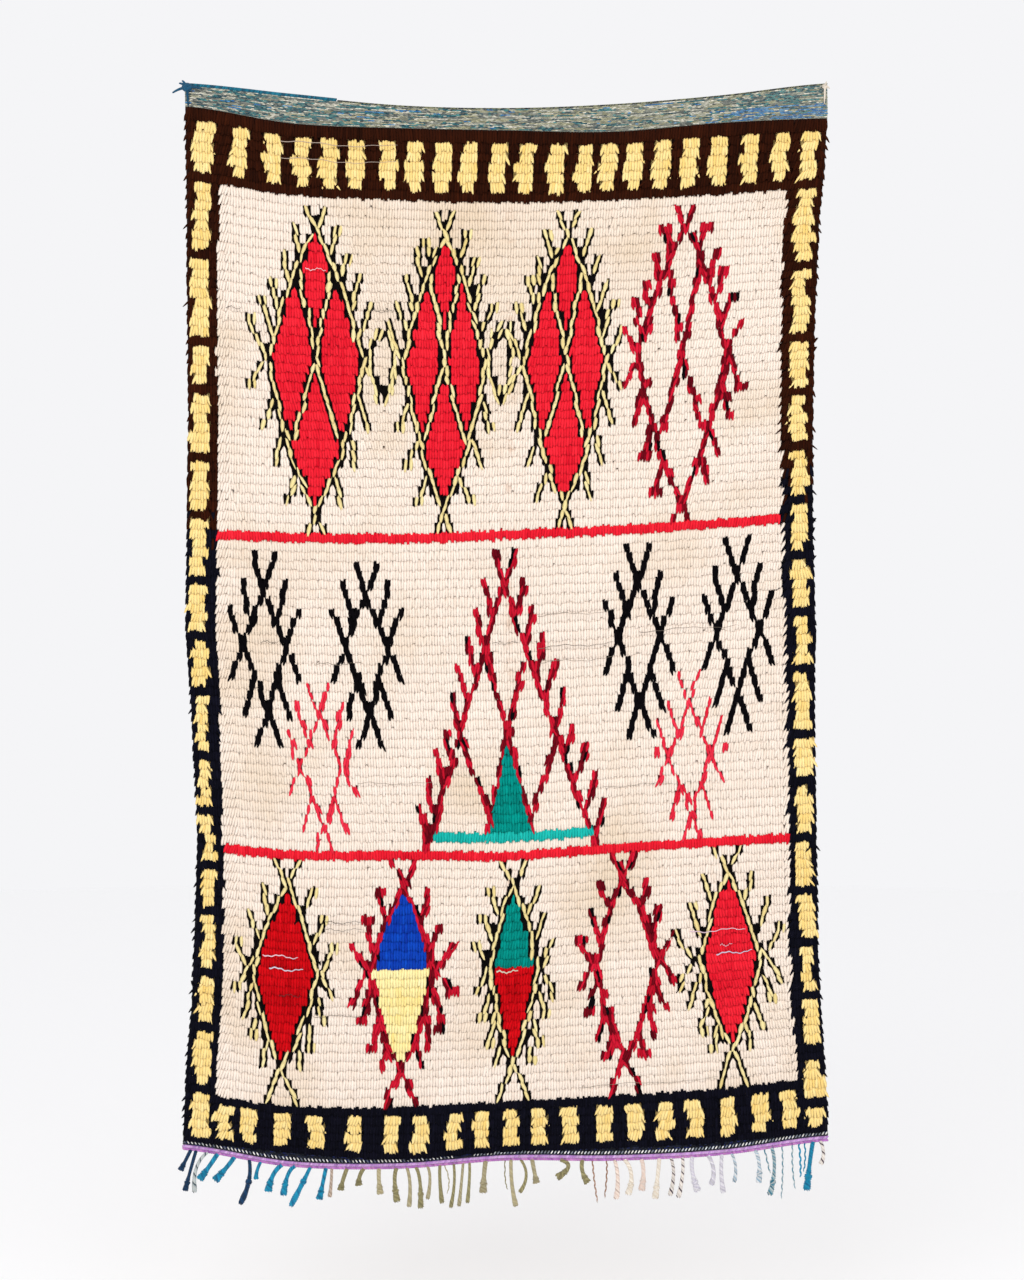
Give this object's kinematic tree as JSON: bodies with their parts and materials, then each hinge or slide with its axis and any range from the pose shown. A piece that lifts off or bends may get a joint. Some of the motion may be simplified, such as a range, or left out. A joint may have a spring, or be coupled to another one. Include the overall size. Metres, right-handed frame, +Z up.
{
  "type": "hand-knotted moroccan wool rug",
  "caption": "Hand-knotted wool rug with barbed lozenges on cream pile inside a blocked border, with a flatwoven heading and a knotted fringe, hung by its top edge.",
  "frame": {"origin": "middle of the top edge, on the plane of the wall that the rug hangs against", "axes": "+Z up along the hung length, +X to the right as one faces the pile, +Y from the pile towards the wall"},
  "size_m": [1.2551, 0.0281, 2.1549],
  "materials": {
    "rug_wool": "hand-spun wool pile on a woven ground",
    "heading_cord_teal": "teal twined wool",
    "heading_cord_dark": "dark twined wool",
    "hem_cord_lilac": "lilac twined wool",
    "fringe_teal": "teal and navy knotted wool yarn",
    "fringe_olive": "olive-beige knotted wool yarn",
    "fringe_pale": "pale knotted wool yarn"
  },
  "bodies": {
    "root": {"rug_body": "rug_wool", "heading_cord_teal": "heading_cord_teal", "heading_cord_dark": "heading_cord_dark", "hem_cord_lilac": "hem_cord_lilac", "fringe_teal_left": "fringe_teal", "fringe_olive": "fringe_olive", "fringe_pale": "fringe_pale", "fringe_teal_right": "fringe_teal", "corner_knot_left": "fringe_teal", "corner_knot_right": "fringe_pale"}
  },
  "joints": []
}
